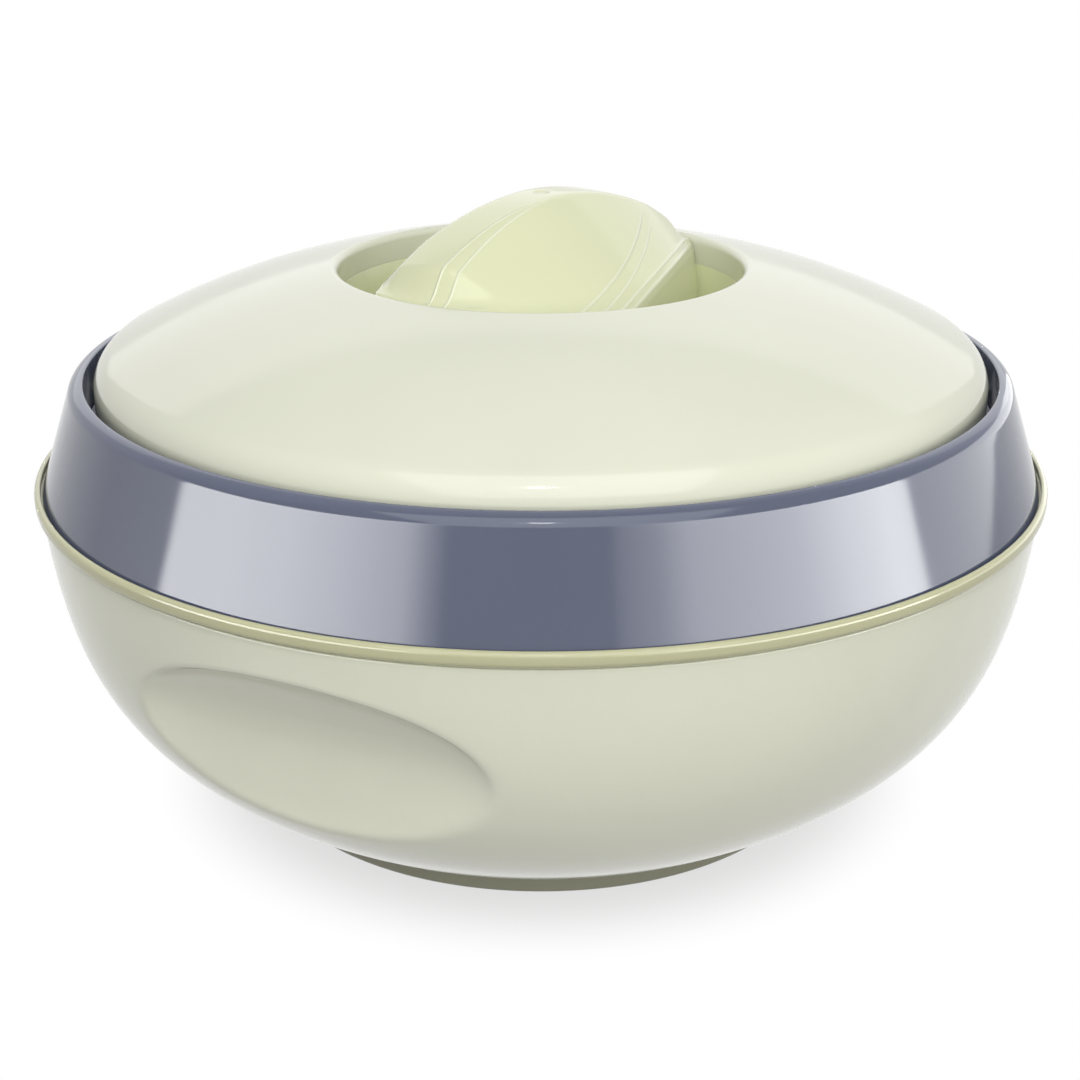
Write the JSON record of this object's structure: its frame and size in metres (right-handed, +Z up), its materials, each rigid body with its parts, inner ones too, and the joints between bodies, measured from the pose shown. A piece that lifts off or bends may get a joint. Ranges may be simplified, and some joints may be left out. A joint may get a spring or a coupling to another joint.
{
  "type": "insulated serving bowl",
  "caption": "Insulated serving bowl with a cream outer shell, a grey collar, a steel inner bowl and a lift-off domed lid with a twisted grip in a round recess",
  "frame": {"origin": "on the table, under the bowl's axis, in the middle of the foot ring", "axes": "+Z points up out of the bowl; the two hand scoops face -Y and +Y; +X is to the right when a scoop is faced"},
  "size_m": [0.29, 0.29, 0.1747],
  "materials": {
    "cream_shell": "glossy moulded plastic, pale cream with a green cast",
    "cream_base": "satin moulded plastic, pale cream",
    "cream_grip": "glossy moulded plastic, pale cream with a green cast",
    "cream_liner": "plain moulded plastic, pale cream",
    "grey_collar": "glossy moulded plastic, blue grey",
    "steel": "satin stainless steel",
    "gasket": "matt silicone, off white",
    "foam": "rigid insulating foam, pale yellow"
  },
  "bodies": {
    "base": {"outer_bowl": "cream_shell", "base_plate": "cream_base", "filler_plug": "cream_base", "bowl_foam": "foam", "inner_bowl": "steel", "rim_gasket": "gasket", "collar_ring": "grey_collar"},
    "lid": {"lid_dome": "cream_shell", "grip_cup": "cream_grip", "grip_screws": "steel", "lid_foam": "foam", "lid_liner": "cream_liner", "lid_gasket": "gasket"}
  },
  "joints": [
    {"name": "lid_lift", "type": "slide", "parent": "base", "child": "lid", "axis": [0, 0, 1], "range_m": [0, 0.08]}
  ]
}
